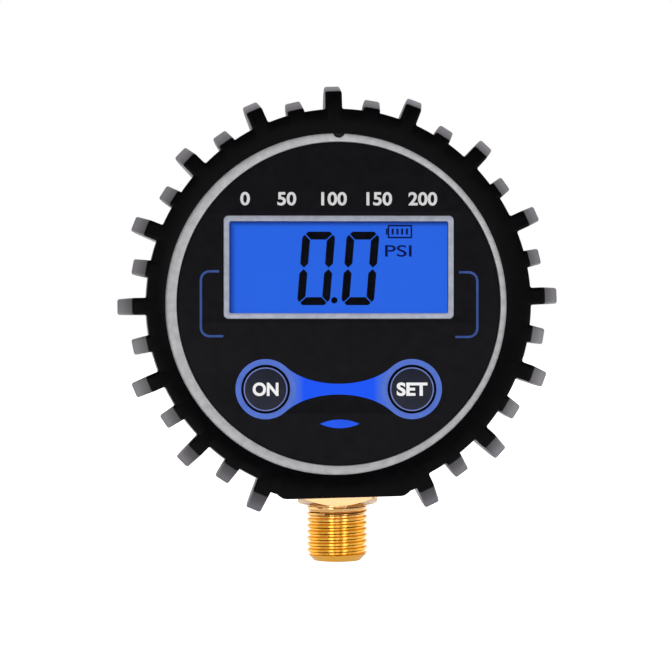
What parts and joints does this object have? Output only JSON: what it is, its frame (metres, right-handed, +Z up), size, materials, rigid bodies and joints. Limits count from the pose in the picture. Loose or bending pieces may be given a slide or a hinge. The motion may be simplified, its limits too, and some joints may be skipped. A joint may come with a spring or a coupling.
{
  "type": "digital pressure gauge",
  "caption": "Round digital pressure gauge head with a toothed rubber boot, blue backlit display, push buttons, rear battery door and a threaded brass stem below.",
  "frame": {"origin": "on the stem's axis at the shoulder under its wrench square, where the thread begins", "axes": "+Z up the stem to the dial, -Y out of the dial towards the reader, +X to the reader's right"},
  "size_m": [0.0722, 0.0316, 0.0784],
  "materials": {
    "rubber": "moulded, satin black",
    "seal_rubber": "plain black",
    "case_plastic": "fine moulded texture",
    "silver_paint": "satin silver",
    "overlay_film": "printed film, satin",
    "clear_plastic": "clear moulded window",
    "lcd": "backlit blue",
    "backlight": "light guide",
    "white_plastic": "plain",
    "contact_rubber": "striped elastomer",
    "board_green": "green solder mask",
    "chip_plastic": "black moulding",
    "screw_steel": "bright zinc",
    "button_plastic": "satin",
    "battery_wrap": "printed sleeve",
    "contact_nickel": "nickel plated",
    "brass": "machined",
    "sensor_ceramic": "plain",
    "ribbon_film": "amber film",
    "lead_red": "wire sleeve",
    "lead_black": "wire sleeve"
  },
  "bodies": {
    "gauge": {"rubber_boot": "rubber", "front_case": "case_plastic", "rear_case": "case_plastic", "case_gasket": "seal_rubber", "bezel_ring": "silver_paint", "face_overlay": "overlay_film", "display_frame": "silver_paint", "display_window": "clear_plastic", "lcd_glass": "lcd", "lcd_backlight": "backlight", "lcd_holder": "white_plastic", "upper_contact_strip": "contact_rubber", "lower_contact_strip": "contact_rubber", "circuit_board": "board_green", "main_chip": "chip_plastic", "board_screw_left": "screw_steel", "board_screw_right": "screw_steel", "on_switch": "screw_steel", "set_switch": "screw_steel", "upper_battery": "battery_wrap", "lower_battery": "battery_wrap", "upper_spring": "contact_nickel", "lower_spring": "contact_nickel", "positive_contact": "contact_nickel", "negative_contact": "contact_nickel", "bridge_contact": "contact_nickel", "positive_lead": "lead_red", "negative_lead": "lead_black", "case_screw_upper_left": "screw_steel", "case_screw_upper_right": "screw_steel", "case_screw_lower_left": "screw_steel", "case_screw_lower_right": "screw_steel", "stem": "brass", "stem_gasket": "seal_rubber", "sensor_o_ring": "seal_rubber", "pressure_sensor": "sensor_ceramic", "sensor_nut": "brass", "sensor_ribbon": "ribbon_film"},
    "on_button": {"on_button": "button_plastic", "on_plunger": "chip_plastic"},
    "set_button": {"set_button": "button_plastic", "set_plunger": "chip_plastic"},
    "battery_door": {"battery_door": "case_plastic", "door_screw_upper": "screw_steel", "door_screw_lower": "screw_steel"}
  },
  "joints": [
    {"name": "on_button_press", "type": "slide", "parent": "gauge", "child": "on_button", "axis": [0, 1, 0], "range_m": [0, 0.0005], "stiffness_N_per_m": 1500},
    {"name": "set_button_press", "type": "slide", "parent": "gauge", "child": "set_button", "axis": [0, 1, 0], "range_m": [0, 0.0005], "stiffness_N_per_m": 1500},
    {"name": "battery_door_lift", "type": "slide", "parent": "gauge", "child": "battery_door", "axis": [0, 1, 0], "range_m": [0, 0.03]}
  ]
}
